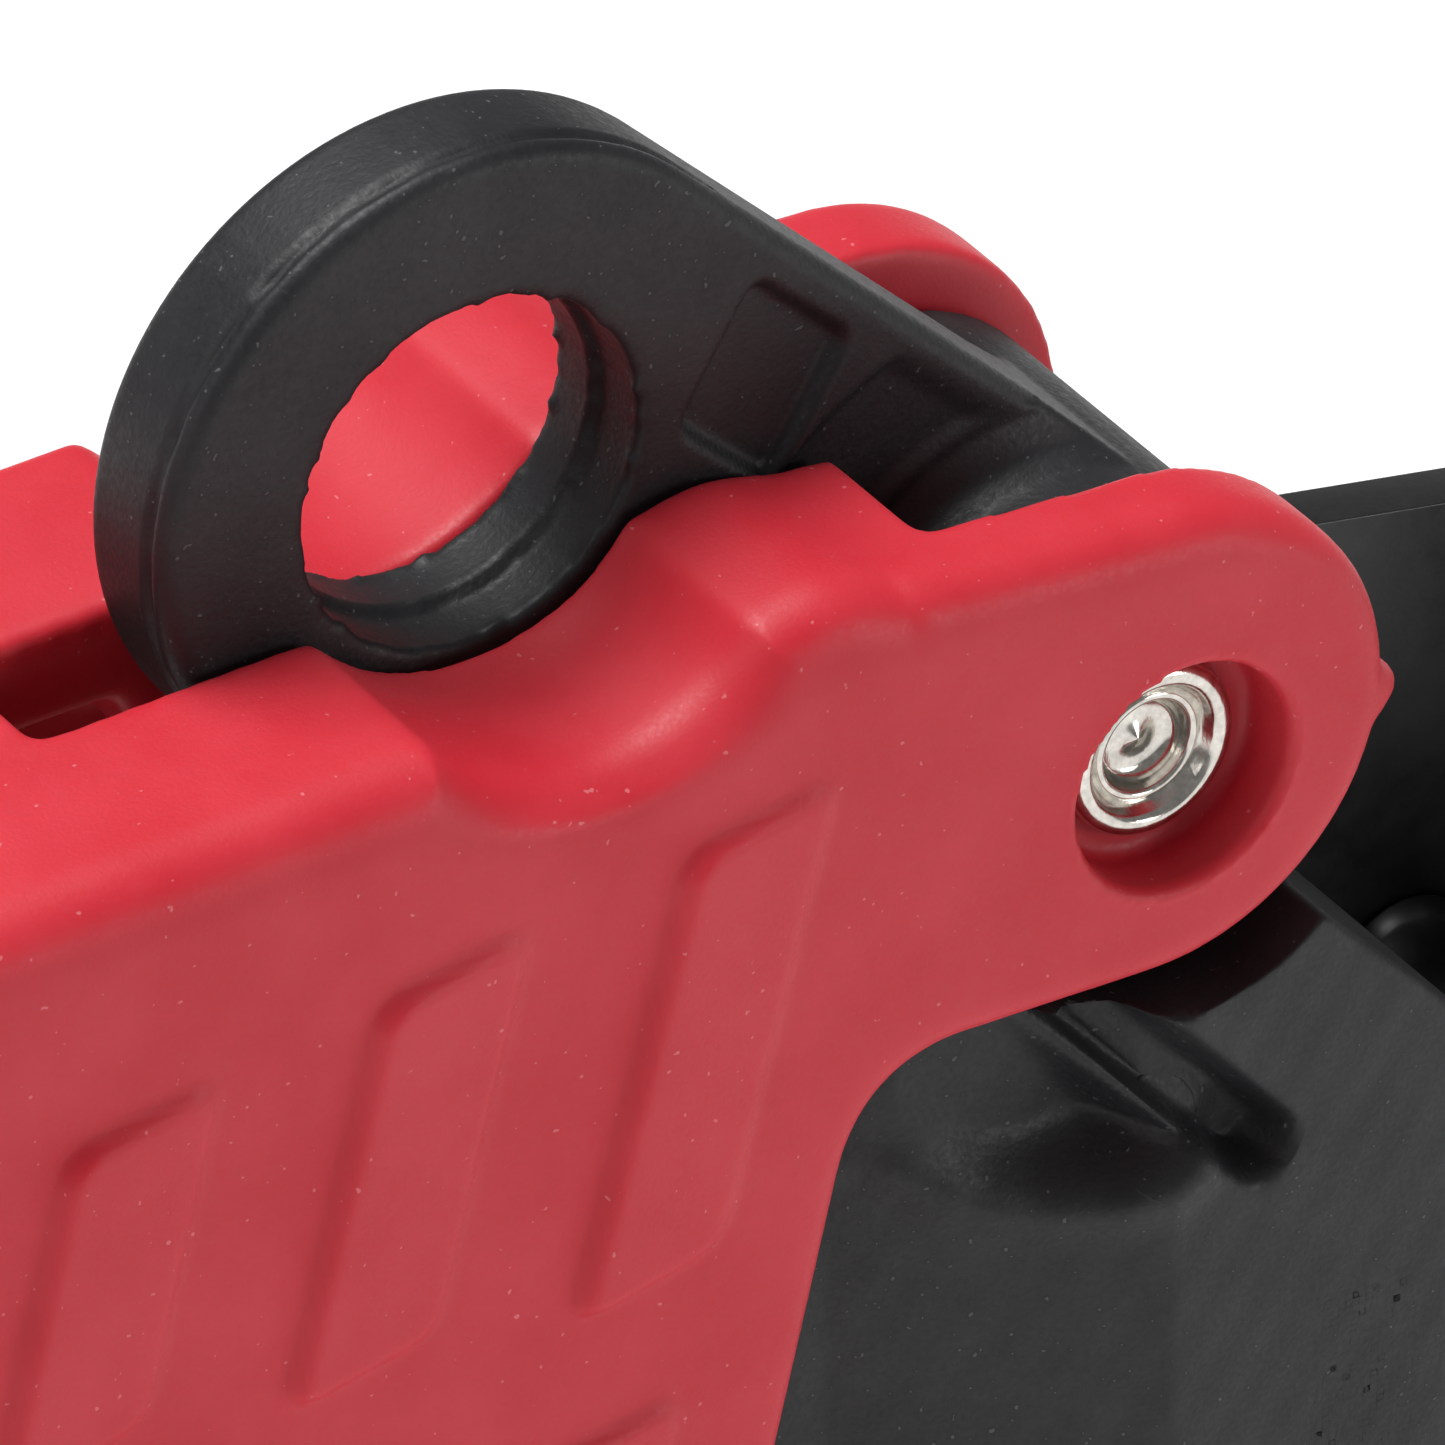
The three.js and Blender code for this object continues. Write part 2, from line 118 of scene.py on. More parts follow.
def makeNylon(name, finish):
    # injection-moulded nylon 6: satin, with the mould's fine spark-erosion grain and specks of dust and fibre
    surface = {"IOR": 1.53, "Specular IOR Level": 0.32, "Subsurface Weight": finish["glow"],
               "Subsurface Scale": 0.0012, "Subsurface Radius": (1.0, 0.06, 0.06)}
    material, tree, shader, place = newMaterial(name, surface)
    cloud = addNode(tree, "ShaderNodeTexNoise", grainOf(finish["waveMm"], 4.0), {"Vector": place})
    grain = addNode(tree, "ShaderNodeTexNoise", grainOf(finish["grainMm"], 2.0), {"Vector": place})
    speck = addNode(tree, "ShaderNodeTexNoise", grainOf(finish["speckMm"], 1.0, 0.3), {"Vector": place})
    tints = [(0.35, linearColour(finish["base"])), (0.68, linearColour(finish["pale"]))]
    base = addNode(tree, "ShaderNodeValToRGB", {"stops": tints}, {"Fac": cloud})
    share = finish["speckShare"]
    cut = [(share, grey(0.0)), (share + 0.03, grey(0.45))]
    mask = addNode(tree, "ShaderNodeValToRGB", {"stops": cut}, {"Fac": speck})
    mix = addNode(tree, "ShaderNodeMixRGB", {"Color2": linearColour(finish["speck"])},
                  {"Fac": mask, "Color1": base})
    low, high = finish["roughness"]
    sheen = addNode(tree, "ShaderNodeValToRGB", {"stops": [(0.3, grey(low)), (0.7, grey(high))]}, {"Fac": grain})
    fine = addNode(tree, "ShaderNodeBump", deep(finish["grainDepthMm"]), {"Height": grain})
    relief = addNode(tree, "ShaderNodeBump", deep(finish["waveDepthMm"]), {"Height": cloud, "Normal": fine})
    connect(tree, shader, {"Base Color": mix, "Roughness": sheen, "Normal": relief})
    return material


def makePowderCoat():
    # powder-coated steel sheet: near-black, smoother than the mouldings, with orange peel
    surface = {"IOR": 1.5, "Coat Weight": 0.15, "Coat Roughness": 0.25}
    material, tree, shader, place = newMaterial("powder_coated_steel", surface)
    peel = addNode(tree, "ShaderNodeTexNoise", grainOf(0.9, 2.0), {"Vector": place})
    fine = addNode(tree, "ShaderNodeTexNoise", grainOf(0.12, 2.0), {"Vector": place})
    tints = [(0.3, linearColour("0e0e0f")), (0.75, linearColour("1a1a1b"))]
    base = addNode(tree, "ShaderNodeValToRGB", {"stops": tints}, {"Fac": fine})
    sheen = addNode(tree, "ShaderNodeValToRGB", {"stops": [(0.3, grey(0.32)), (0.7, grey(0.45))]}, {"Fac": peel})
    dimples = addNode(tree, "ShaderNodeBump", deep(0.012), {"Height": peel})
    relief = addNode(tree, "ShaderNodeBump", deep(0.003), {"Height": fine, "Normal": dimples})
    connect(tree, shader, {"Base Color": base, "Roughness": sheen, "Normal": relief})
    return material


metalFinishes = {
    # bright nickel plate over a rolled rivet: mirror-like with fine handling marks
    "bright_nickel_plate": {"dark": "b9b4ac", "light": "e6e2da", "roughness": (0.10, 0.24), "markMm": 0.35},
    # zinc plate on turned steel: grey, a little cloudy
    "zinc_plated_steel": {"dark": "8f9194", "light": "c3c5c8", "roughness": (0.24, 0.42), "markMm": 0.5},
    # turned brass: warm, with tool marks
    "turned_brass": {"dark": "9a7836", "light": "c9a257", "roughness": (0.22, 0.38), "markMm": 0.5},
}


def makeMetal(name):
    finish = metalFinishes[name]
    material, tree, shader, place = newMaterial(name, {"Metallic": 1.0})
    marks = addNode(tree, "ShaderNodeTexNoise", grainOf(finish["markMm"], 5.0, 0.65), {"Vector": place})
    stretched = addNode(tree, "ShaderNodeMapping", {"Scale": (6.0, 1.0, 1.0)}, {"Vector": place})
    lines = addNode(tree, "ShaderNodeTexNoise", grainOf(0.6), {"Vector": stretched})
    tints = [(0.3, linearColour(finish["dark"])), (0.72, linearColour(finish["light"]))]
    base = addNode(tree, "ShaderNodeValToRGB", {"stops": tints}, {"Fac": marks})
    low, high = finish["roughness"]
    gloss = [(0.3, grey(low)), (0.75, grey(high))]
    sheen = addNode(tree, "ShaderNodeValToRGB", {"stops": gloss}, {"Fac": marks})
    drawn = addNode(tree, "ShaderNodeBump", deep(0.004), {"Height": lines})
    relief = addNode(tree, "ShaderNodeBump", deep(0.003), {"Height": marks, "Normal": drawn})
    connect(tree, shader, {"Base Color": base, "Roughness": sheen, "Normal": relief})
    return material


def makeRubber():
    # moulded nitrile rubber: dull, slightly dusty black
    material, tree, shader, place = newMaterial("moulded_rubber", {"IOR": 1.52})
    dust = addNode(tree, "ShaderNodeTexNoise", grainOf(0.6, 5.0, 0.7), {"Vector": place})
    fine = addNode(tree, "ShaderNodeTexNoise", grainOf(0.09, 2.0), {"Vector": place})
    tints = [(0.35, linearColour("161616")), (0.75, linearColour("2b2a29"))]
    base = addNode(tree, "ShaderNodeValToRGB", {"stops": tints}, {"Fac": dust})
    sheen = addNode(tree, "ShaderNodeValToRGB", {"stops": [(0.3, grey(0.72)), (0.7, grey(0.9))]}, {"Fac": fine})
    relief = addNode(tree, "ShaderNodeBump", deep(0.008), {"Height": fine})
    connect(tree, shader, {"Base Color": base, "Roughness": sheen, "Normal": relief})
    return material


finishes = {
    "red_plastic": makeNylon("red_moulded_nylon", mouldedNylon["red"]),
    "black_plastic": makeNylon("black_glass_filled_nylon", mouldedNylon["black"]),
    "black_plate": makePowderCoat(),
    "bright_steel": makeMetal("bright_nickel_plate"),
    "plain_steel": makeMetal("zinc_plated_steel"),
    "brass": makeMetal("turned_brass"),
    "rubber": makeRubber(),
}
slotOf = {row["node"]: row["material_slot"] for row in frame["record"]["subparts"]}
bodyOf = {node: body for body, members in frame["record"]["behaviour"]["bodies"].items() for node in members}


# Mesh helpers

def newPiece(name, mesh):
    piece = bpy.data.objects.new(name, mesh)
    bpy.context.scene.collection.objects.link(piece)
    return piece


def copyOfNode(node, name):
    mesh = frame["nodes"][node].data.copy()
    mesh.materials.clear()
    shape = bmesh.new()
    shape.from_mesh(mesh)
    bmesh.ops.remove_doubles(shape, verts=shape.verts, dist=0.004 * mm)
    bmesh.ops.dissolve_limit(shape, angle_limit=math.radians(0.5), verts=shape.verts, edges=shape.edges)
    for face in shape.faces:
        face.smooth = False
    shape.to_mesh(mesh)
    shape.free()
    mesh.name = name
    carried = mesh.attributes.get("custom_normal")
    if carried:
        mesh.attributes.remove(carried)
    return newPiece(name, mesh)


def applyModifiers(piece):
    view = bpy.context.evaluated_depsgraph_get()
    mesh = bpy.data.meshes.new_from_object(piece.evaluated_get(view))
    piece.modifiers.clear()
    piece.data = mesh


def remeshed(piece, voxelMm, smoothSteps):
    # a voxel skin, relaxed a little, gives every edge the small round that a moulding has
    skin = piece.modifiers.new("skin", "REMESH")
    skin.mode = "VOXEL"
    skin.voxel_size = voxelMm * mm
    skin.use_smooth_shade = True
    applyModifiers(piece)
    relaxed(piece, smoothSteps)


def relaxed(piece, steps):
    relax = piece.modifiers.new("relax", "SMOOTH")
    relax.factor = 0.5
    relax.iterations = steps
    applyModifiers(piece)


def reshaped(piece, move):
    mesh = piece.data
    flat = np.zeros(len(mesh.vertices) * 3)
    mesh.vertices.foreach_get("co", flat)
    points = (flat.reshape(-1, 3) - pivot) / mm
    moved = move(points)
    mesh.vertices.foreach_set("co", (moved * mm + pivot).ravel())
    mesh.update()


def finishPiece(piece, node):
    piece.data.materials.clear()
    piece.data.materials.append(finishes[slotOf[node]])
    piece.data.shade_smooth()
    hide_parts(node)
    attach(piece, bodyOf[node])


def smoothStep(value, low, high):
    share = np.clip((value - low) / (high - low), 0, 1)
    return share * share * (3 - 2 * share)


def ripple(a, b, seed=0.0):
    # a quiet, repeatable unevenness between -1 and 1
    first = np.sin(a * 2.3 + seed) * np.cos(b * 1.9 - seed)
    second = np.sin(a * 5.1 + b * 3.7 + seed * 2)
    third = np.sin(a * 11.3 - b * 9.1 + seed * 3)
    return 0.5 * first + 0.3 * second + 0.2 * third


def raggedness(angle, seed):
    # uneven torn flash round a rim, between 0 and 1, the same on every run
    heights = np.random.default_rng(seed).random(74)
    heights[-1] = heights[0]
    share = (angle + math.pi) / (2 * math.pi) * (len(heights) - 1)
    return np.interp(share, np.arange(len(heights)), heights)


def arcPoints(x, z, radius, start, end, steps):
    angles = np.linspace(start, end, steps)
    return np.stack([x + radius * np.cos(angles), z + radius * np.sin(angles)], 1)


def curvePoints(a, b, c, steps=10):
    share = np.linspace(0, 1, steps)[:, None]
    a, b, c = (np.array(p, float) for p in (a, b, c))
    return (1 - share) ** 2 * a + 2 * share * (1 - share) * b + share ** 2 * c


def outlineDistance(points, outline):
    # depth inside a closed anticlockwise outline in X and Z, and the outline's inward normal there
    ends = np.roll(outline, -1, 0)
    best = np.full(len(points), 1e9)
    normal = np.zeros((len(points), 2))
    xz = points[:, [0, 2]]
    for a, b in zip(outline, ends):
        along = b - a
        length = np.hypot(*along)
        if length < 1e-6:
            continue
        share = np.clip(((xz - a) @ along) / length ** 2, 0, 1)
        away = xz - (a + share[:, None] * along)
        distance = np.hypot(away[:, 0], away[:, 1])
        nearer = distance < best
        best[nearer] = distance[nearer]
        normal[nearer] = np.array([-along[1], along[0]]) / length
    return best, normal


def signedDepth(x, z, outline):
    # depth inside an outline, negative outside it
    depth, _ = outlineDistance(np.stack([x, np.zeros(len(x)), z], axis=1), outline)
    inside = np.zeros(len(x), bool)
    for a, b in zip(outline, np.roll(outline, -1, 0)):
        if a[1] == b[1]:
            continue
        crossing = a[0] + (b[0] - a[0]) * (z - a[1]) / (b[1] - a[1])
        inside ^= ((a[1] > z) != (b[1] > z)) & (x < crossing)
    return np.where(inside, depth, -depth)


def roundSides(points, outline, halfWidth, radius):
    # rolls the edge between the flat sides and the outline over a round of the given radius
    depth, inward = outlineDistance(points, outline)
    sideDepth = np.abs(halfWidth - np.abs(points[:, 1]))
    over = np.stack([radius - sideDepth, radius - depth], 1)
    reach = np.hypot(over[:, 0], over[:, 1])
    corner = (over[:, 0] > 0) & (over[:, 1] > 0) & (reach > radius)
    scale = np.where(corner, radius / np.maximum(reach, 1e-6), 1.0)
    pullSide = np.where(corner, over[:, 0] * (1 - scale), 0)
    pullIn = np.where(corner, over[:, 1] * (1 - scale), 0)
    moved = points.copy()
    moved[:, 1] -= np.sign(points[:, 1]) * pullSide
    moved[:, 0] += inward[:, 0] * pullIn
    moved[:, 2] += inward[:, 1] * pullIn
    return moved


def roundedBoxDepth(a, b, halfA, halfB, corner):
    # how far inside a rounded rectangle a point lies; negative outside
    qa = np.abs(a) - halfA + corner
    qb = np.abs(b) - halfB + corner
    outside = np.hypot(np.maximum(qa, 0), np.maximum(qb, 0))
    inside = np.minimum(np.maximum(qa, qb), 0)
    return corner - outside - inside


lever = {
    "halfWidth": 7.85, "topZ": 7.55, "earX": -0.4, "earZ": 0.75, "earRadius": 5.98,
    "scoopX": -14.95, "scoopHalf": 4.15, "scoopDepth": 1.95, "tailX": -52.0,
    "edgeRadius": 0.75, "topRadius": 1.6, "farTopRadius": 0.6, "recessRadius": 2.86,
    "slotHalf": 1.75, "nub": (5.4, 6.9, -0.1), "nubRadius": 0.85, "nubRise": 0.75,
    "columns": 5, "padLeft": -13.2, "padPitch": 7.75, "padWidth": 3.9, "padCorner": 0.75,
    "padSlant": 0.275, "padTilt": 0.14, "padHeight": 0.48, "padFade": 0.3,
    # each row's first pad: its top and foot, and how far each moves from one column to the next
    "padRows": [(3.4, -0.85, -8.0, 0.65), (-11.6, 0.9, -20.4, 2.3)],
}


def leverOutline():
    scoopRadius = (lever["scoopHalf"] ** 2 + lever["scoopDepth"] ** 2) / (2 * lever["scoopDepth"])
    scoopZ = lever["topZ"] - lever["scoopDepth"] + scoopRadius
    half = math.asin(lever["scoopHalf"] / scoopRadius)
    low = -math.pi / 2
    tail, top = lever["tailX"], lever["topZ"]
    parts = [
        arcPoints(lever["earX"], lever["earZ"], lever["earRadius"], -1.66, math.pi / 2, 30),
        [(-8.6, top)],
        arcPoints(lever["scoopX"], scoopZ, scoopRadius, low + half, low - half, 14),
        [(-45, top)],
        curvePoints((-45, top), (tail + 1, top), (tail + 0.5, 1)),
        curvePoints((tail, -5), (tail, -10.5), (-47.5, -12.4)),
        curvePoints((-18, -24.6), (-13.4, -26.2), (-12.7, -23)),
        curvePoints((-9, -7.6), (-8.5, -4.9), (-6, -4.9)),
    ]
    return np.concatenate([np.array(p, float) for p in parts])


def gripRelief(x, z, depth):
    # two rows of slanted pads, each proud at its tail-side edge and fading forwards
    relief = np.zeros(len(x))
    highest = lever["padRows"][0][0]
    for firstTop, topStep, firstFoot, footStep in lever["padRows"]:
        for column in range(lever["columns"]):
            top = firstTop + topStep * column
            foot = firstFoot + footStep * column
            left = lever["padLeft"] - lever["padPitch"] * column
            slant = lever["padSlant"] - 0.012 * column
            along = x - (left + slant * (z - highest)) - lever["padWidth"] / 2
            tilt = z - lever["padTilt"] * along - (top + foot) / 2
            inside = roundedBoxDepth(along, tilt, lever["padWidth"] / 2, (top - foot) / 2, lever["padCorner"])
            share = np.clip(along / lever["padWidth"] + 0.5, 0, 1)
            height = lever["padHeight"] - lever["padFade"] * share
            relief += smoothStep(inside, -0.1, 0.26) * height
    return relief * smoothStep(depth, 1.0, 2.2)


def shapeLever(points):
    outline = leverOutline()
    far = points[:, 1] > 0
    topRadius = np.where(far, lever["farTopRadius"], lever["topRadius"])
    radius = lever["edgeRadius"] + (topRadius - lever["edgeRadius"]) * smoothStep(points[:, 2], 3.5, 6.0)
    radius = np.where(points[:, 0] > -7, 0.55 * radius + 0.35, radius)
    points = roundSides(points, outline, lever["halfWidth"], radius)
    x, y, z = points.T
    # the scoop's forward lip swells a little, and the slot's edges carry a trace of flash
    lip = np.exp(-((x + 9.0) / 1.6) ** 2) * smoothStep(z, 5.8, 7.2)
    points[:, 2] += 0.35 * lip
    slotEdge = (np.abs(np.abs(y) - lever["slotHalf"]) < 0.3) & (z > 6.6)
    points[:, 1] -= np.where(slotEdge, np.sign(y) * 0.09 * (1 + ripple(x * 3, z, 0.7)), 0)
    # the gate nub on each ear's end
    nubX, nubY, nubZ = lever["nub"]
    for side in (-1, 1):
        away = np.sqrt((x - nubX) ** 2 + (y - side * nubY) ** 2 + (z - nubZ) ** 2)
        points[:, 0] += lever["nubRise"] * np.clip(1 - (away / lever["nubRadius"]) ** 2, 0, 1)
    return points


def raiseGrips(points):
    depth, _ = outlineDistance(points, leverOutline())
    x, y, z = points.T
    outer = np.abs(y) > lever["halfWidth"] - 0.35
    points[:, 1] += np.where(outer, np.sign(y) * gripRelief(x, z, depth), 0)
    return points


def crispRecess(points):
    # the rivet's counterbore keeps its square edge, with a hair of flash round it
    x, y, z = points.T
    radius, half = lever["recessRadius"], lever["halfWidth"]
    away = np.hypot(x, z)
    near = (away > 2.3) & (away < 4.2) & (np.abs(y) > 6.4)
    wall = near & (np.abs(away - radius) < half - np.abs(y))
    face = near & ~wall & (away > radius - 0.05)
    scale = np.where(wall, radius / np.maximum(away, 1e-6), 1.0)
    lip = 0.07 * np.exp(-((away - radius) / 0.16) ** 2)
    return np.stack([x * scale, np.where(face, np.sign(y) * (half + lip), y), z * scale], axis=1)


def makeLever():
    piece = copyOfNode("lever_handle", "lever_moulding")
    remeshed(piece, 0.19, 5)
    reshaped(piece, shapeLever)
    relaxed(piece, 8)
    reshaped(piece, raiseGrips)
    relaxed(piece, 1)
    reshaped(piece, crispRecess)
    finishPiece(piece, "lever_handle")
    print("lever moulding made:", len(piece.data.vertices), "points")


eye = {
    "x": -14.6, "z": 10.0, "radius": 8.0, "holeRadius": 4.5, "webHalf": 1.55, "hubRadius": 5.1, "edge": 0.5,
    "roomInner": 6.5, "roomOuter": 9.6, "roomDepth": 0.14, "pocketDepth": 0.4, "pocketPlace": (-7.0, 9.6),
    "pocketTurn": (0.723, 0.691), "holeTrim": 0.14, "mouldStep": 0.24, "flash": 0.16,
}


def eyeOutline():
    slope = 0.763
    tangent = math.pi / 2 - slope
    reach = 4.8
    parts = [
        arcPoints(eye["x"], eye["z"], eye["radius"], tangent, 3.95, 60),
        arcPoints(0, 0, eye["hubRadius"] - 0.1, 3.95, 2 * math.pi + tangent, 40),
        [(reach * math.cos(tangent), reach * math.sin(tangent))],
    ]
    return np.concatenate([np.array(p, float) for p in parts])


def shapeEye(points):
    outline = eyeOutline()
    x, y, z = points.T
    fromEye = np.hypot(x - eye["x"], z - eye["z"])
    fromHinge = np.hypot(x, z)
    web = (fromHinge > 6.4) & (np.abs(y) < 1.7)
    rolled = roundSides(points, outline, eye["webHalf"], np.full(len(x), eye["edge"]))
    points = np.where(web[:, None], rolled, points)
    x, y, z = points.T
    face = web & (np.abs(y) > 1.2)
    # shallow pocket beside the ring, and the ring-shaped room the lever's lips sweep through
    (placeX, placeZ), (cosine, sine) = eye["pocketPlace"], eye["pocketTurn"]
    along = cosine * (x - placeX) - sine * (z - placeZ)
    across = sine * (x - placeX) + cosine * (z - placeZ)
    pocket = smoothStep(roundedBoxDepth(along + 0.2 * across, across, 1.75, 1.9, 0.5), -0.1, 0.22)
    room = smoothStep(fromHinge, eye["roomInner"], eye["roomInner"] + 0.5)
    room *= 1 - smoothStep(fromHinge, eye["roomOuter"] - 0.12, eye["roomOuter"] + 0.12)
    outlineDepth, _ = outlineDistance(points, outline)
    room *= smoothStep(outlineDepth, 0.7, 1.3)
    sink = np.maximum(eye["pocketDepth"] * pocket, eye["roomDepth"] * room)
    points[:, 1] -= np.where(face, np.sign(y) * sink, 0)
    # the hole's two mould halves meet in a step, and both rims carry ragged flash
    wall = (fromEye < eye["holeRadius"] + 0.35) & (np.abs(y) < 1.7)
    angle = np.arctan2(z - eye["z"], x - eye["x"])
    step = eye["mouldStep"] * smoothStep(y, 0.0, 0.16)
    ragged = eye["flash"] * raggedness(angle, 11) ** 2
    seam = eye["flash"] * np.exp(-((y - 0.02) / 0.1) ** 2) * raggedness(angle, 12)
    rim = ragged * np.exp(-((np.abs(y) - 1.42) / 0.16) ** 2)
    inward = np.where(wall, eye["holeTrim"] + step + seam + rim, 0)
    # the mould's parting line round the ring's edge
    ringEdge = (np.abs(fromEye - eye["radius"]) < 0.3) & (x < -8)
    line = eye["flash"] * np.exp(-((y + 0.95) / 0.12) ** 2) * (0.4 + raggedness(angle, 13))
    inward += np.where(ringEdge, line, 0)
    points[:, 0] -= inward * np.cos(angle)
    points[:, 2] -= inward * np.sin(angle)
    return points


def makeEye():
    piece = copyOfNode("padlock_eye", "padlock_eye_moulding")
    remeshed(piece, 0.13, 5)
    reshaped(piece, shapeEye)
    finishPiece(piece, "padlock_eye")
    print("padlock eye made:", len(piece.data.vertices), "points")


pillar = {
    "halfWidth": 7.85, "taperFrom": -0.1, "taperTo": -7.6, "coreHalf": 4.9, "left": -9.6, "right": 8.0,
    "hollowFloor": 5.5, "hollowSoft": 1.15, "lipRise": 0.3, "grooveFrom": (-2.9, -4.9),
    "grooveTo": (2.3, -10.95), "grooveRadius": 0.95, "grooveDepth": 1.5, "nubRoom": 6.6,
}


def hollowOutline():
    parts = [
        [(-12, -4), (-12, -8.2), (-6.6, -8.2)],
        curvePoints((-6.2, -8.2), (-4.6, -10.9), (-1.6, -10.8)),
        curvePoints((-1.6, -10.8), (-0.2, -10.7), (0.3, -10.1)),
        [(-4.1, -4.2)],
    ]
    return np.concatenate([np.array(p, float) for p in parts])


def pillarFace(x, z):
    # how far the near face stands out: a taper, the soft hollow with its lip, and the slanted groove
    share = np.clip((pillar["taperFrom"] - x) / (pillar["taperFrom"] - pillar["taperTo"]), 0, 1)
    face = pillar["halfWidth"] - share * (pillar["halfWidth"] - pillar["coreHalf"])
    depth = signedDepth(x, z, hollowOutline())
    sunk = smoothStep(depth, -0.5, pillar["hollowSoft"])
    floor = pillar["hollowFloor"]
    lip = pillar["lipRise"] * np.exp(-((depth + 0.75) / 0.6) ** 2) * smoothStep(-z, 8.6, 10.0)
    a, b = np.array(pillar["grooveFrom"]), np.array(pillar["grooveTo"])
    along = np.clip(((x - a[0]) * (b - a)[0] + (z - a[1]) * (b - a)[1]) / ((b - a) ** 2).sum(), 0, 1)
    away = np.hypot(x - a[0] - along * (b - a)[0], z - a[1] - along * (b - a)[1])
    groove = pillar["grooveDepth"] * smoothStep(pillar["grooveRadius"] - away, -0.1, 0.5)
    return np.minimum(face, floor + (face - floor) * (1 - sunk)) + lip - groove


def shapePillar(points):
    x, y, z = points.T
    # only the near face's inside is moved; its outer edges keep their moulded shape
    inside = (x > pillar["left"] + 0.7) & (x < pillar["right"] - 0.7)
    below = (z > -33.3) & (z < -5.9 - 1.1 * np.clip(x - 3.4, 0, None))
    near = (y < -4.6) & inside & below
    share = near * smoothStep(np.hypot(x, z), 6.2, 6.5)
    points[:, 1] = y + share * (-pillarFace(x, z) - y)
    points[:, 1] += np.where(np.abs(y) > 4.6, np.sign(y) * 0.05 * ripple(x * 0.35, z * 0.3, 2.0), 0)
    # room for the lever's gate nubs, which swing past the ears' seats
    away = np.hypot(x, z)
    tight = (np.abs(y) > 5.3) & (away < pillar["nubRoom"])
    scale = np.where(tight, pillar["nubRoom"] / np.maximum(away, 1e-6), 1.0)
    points[:, 0] *= scale
    points[:, 2] *= scale
    return points


def makePillar():
    piece = copyOfNode("pillar_body", "pillar_moulding")
    remeshed(piece, 0.19, 14)
    reshaped(piece, shapePillar)
    relaxed(piece, 3)
    finishPiece(piece, "pillar_body")
    print("pillar made:", len(piece.data.vertices), "points")


softMouldings = {
    # node: voxel in millimetres, relaxing steps
    "nut_block": (0.2, 6),
    "thumb_wheel": (0.18, 6),
    "nut_pocket_plug": (0.15, 3),
    "wheel_cap": (0.15, 4),
    "jaw_pad": (0.1, 3),
    "swivel_pad": (0.12, 4),
}


def makeSoftMouldings():
    for node, (voxelMm, steps) in softMouldings.items():
        piece = copyOfNode(node, node + "_moulding")
        remeshed(piece, voxelMm, steps)
        finishPiece(piece, node)
    print("small mouldings made")


bevelled = {
    # node: edge break in millimetres
    "back_plate": 0.28, "plunger_jaw": 0.22, "wear_plate": 0.1, "captive_nut": 0.15, "wheel_nut": 0.18,
    "swivel_cup": 0.15, "plunger_rod": 0.12, "stop_peg": 0.06, "swivel_clip": 0.08, "plunger_bush": 0.1,
    "eye_cross_pin": 0.15, "hub_sleeve": 0.06, "plate_screw_1": 0.06, "plate_screw_2": 0.06,
    "plate_screw_3": 0.06, "plate_screw_4": 0.06, "plunger_spring": 0.0,
}


def makeMetalParts():
    for node, widthMm in bevelled.items():
        piece = copyOfNode(node, node + "_finished")
        if widthMm:
            edge = piece.modifiers.new("edge", "BEVEL")
            edge.width = widthMm * mm
            edge.segments = 3
            edge.limit_method = "ANGLE"
            edge.angle_limit = math.radians(40)
            edge.use_clamp_overlap = True
            applyModifiers(piece)
        finishPiece(piece, node)
        piece.data.set_sharp_from_angle(angle=math.radians(38))
    print("metal parts made")


def turned(name, profile, segments, place):
    # profile is [radius, station] in millimetres, closed on itself and turned about Y
    count = len(profile)
    rings = []
    for i in range(segments):
        angle = 2 * math.pi * i / segments
        for radius, station in profile:
            rings.append((radius * math.cos(angle), station, radius * math.sin(angle)))
    points = np.array(rings) * mm + place
    faces = []
    for i in range(segments):
        for j in range(count):
            nextI, nextJ = (i + 1) % segments, (j + 1) % count
            faces.append((i * count + j, i * count + nextJ, nextI * count + nextJ, nextI * count + j))
    mesh = bpy.data.meshes.new(name)
    mesh.from_pydata([tuple(p) for p in points], [], faces)
    shape = bmesh.new()
    shape.from_mesh(mesh)
    bmesh.ops.recalc_face_normals(shape, faces=shape.faces)
    shape.to_mesh(mesh)
    shape.free()
    return newPiece(name, mesh)


rivet = {"floor": 6.1, "flange": 2.2, "shank": 1.62, "roll": 0.34, "axis": 0.002}


def makeRivet():
    # one side of the closed profile: from the shank over the rolled rim, down to the bore's dimpled bottom
    floor, roll = rivet["floor"], rivet["roll"]
    side = [(rivet["shank"], floor), (rivet["flange"] - 0.08, floor), (rivet["flange"], floor + 0.08)]
    side += [tuple(p) for p in arcPoints(rivet["flange"] - roll, floor + 0.22, roll, 0, math.pi * 0.62, 9)]
    side += [(1.62, floor + 0.42), (1.53, floor + 0.2), (1.44, floor + 0.12)]
    side += [tuple(p) for p in arcPoints(1.28, floor + 0.12, 0.14, 0.1, math.pi * 0.9, 6)]
    side += [(1.10, floor - 0.04), (1.02, floor - 0.24), (0.88, floor - 0.34), (0.55, floor - 0.38)]
    side += [(0.32, floor - 0.30), (rivet["axis"], floor - 0.14)]
    profile = side + [(radius, -station) for radius, station in reversed(side)]
    piece = turned("hinge_rivet_rolled", profile, 96, pivot)
    finishPiece(piece, "hinge_rivet")
    piece.data.set_sharp_from_angle(angle=math.radians(55))
    print("rivet made")


thread = {
    "pitch": 0.8, "outer": 2.4, "root": 1.95, "perTurn": 40, "rowsPerPitch": 8, "run": (20.9, 44.7),
    "dogPoint": (18.2, 20.5), "dogRadius": 1.6, "end": 45.2, "centreRadius": 0.02,
}


